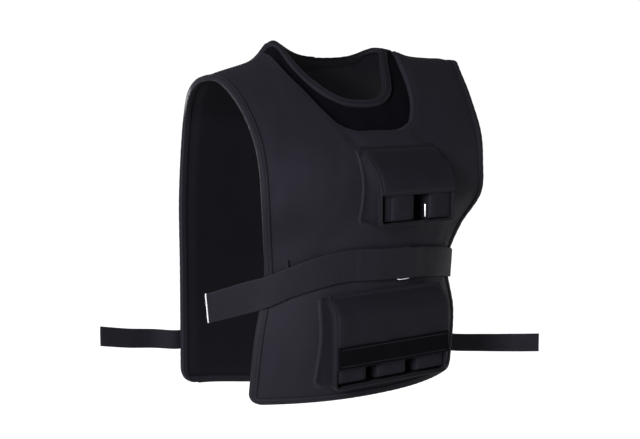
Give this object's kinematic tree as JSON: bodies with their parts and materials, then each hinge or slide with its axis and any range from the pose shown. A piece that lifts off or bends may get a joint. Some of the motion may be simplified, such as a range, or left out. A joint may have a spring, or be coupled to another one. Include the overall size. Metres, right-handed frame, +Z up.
{
  "type": "weighted vest",
  "caption": "Worn black padded training vest, open at the sides, with flapped weight pouches on chest and belly, a waist belt and a rear strap.",
  "frame": {"origin": "midway between the two neck points, on the line where the front and back panels meet over the shoulders, where the vest hangs on its wearer", "axes": "+X towards the wearer's left, -Y out of the front, +Z up"},
  "size_m": [0.6974, 0.3622, 0.5943],
  "materials": {
    "shell_cloth": "matt plain woven nylon",
    "lining": "matt knitted lining",
    "webbing": "ribbed woven tape, faint sheen",
    "hook_pile": "matt hook-and-loop pile",
    "ring_steel": "bright nickel-plated wire"
  },
  "bodies": {
    "root": {"front_panel": "shell_cloth", "back_panel": "shell_cloth", "chest_pouch": "shell_cloth", "chest_flap": "shell_cloth", "belly_pouch": "shell_cloth", "belly_flap": "shell_cloth", "chest_sleeve_1": "shell_cloth", "chest_sleeve_2": "shell_cloth", "belly_sleeve_1": "shell_cloth", "belly_sleeve_2": "shell_cloth", "belly_sleeve_3": "shell_cloth", "neck_yoke": "lining", "neck_binding": "webbing", "front_binding": "webbing", "back_binding": "webbing", "waist_belt": "webbing", "ring_tab": "webbing", "rear_strap": "webbing", "belly_hook_strip": "hook_pile", "belt_ring": "ring_steel"}
  },
  "joints": []
}
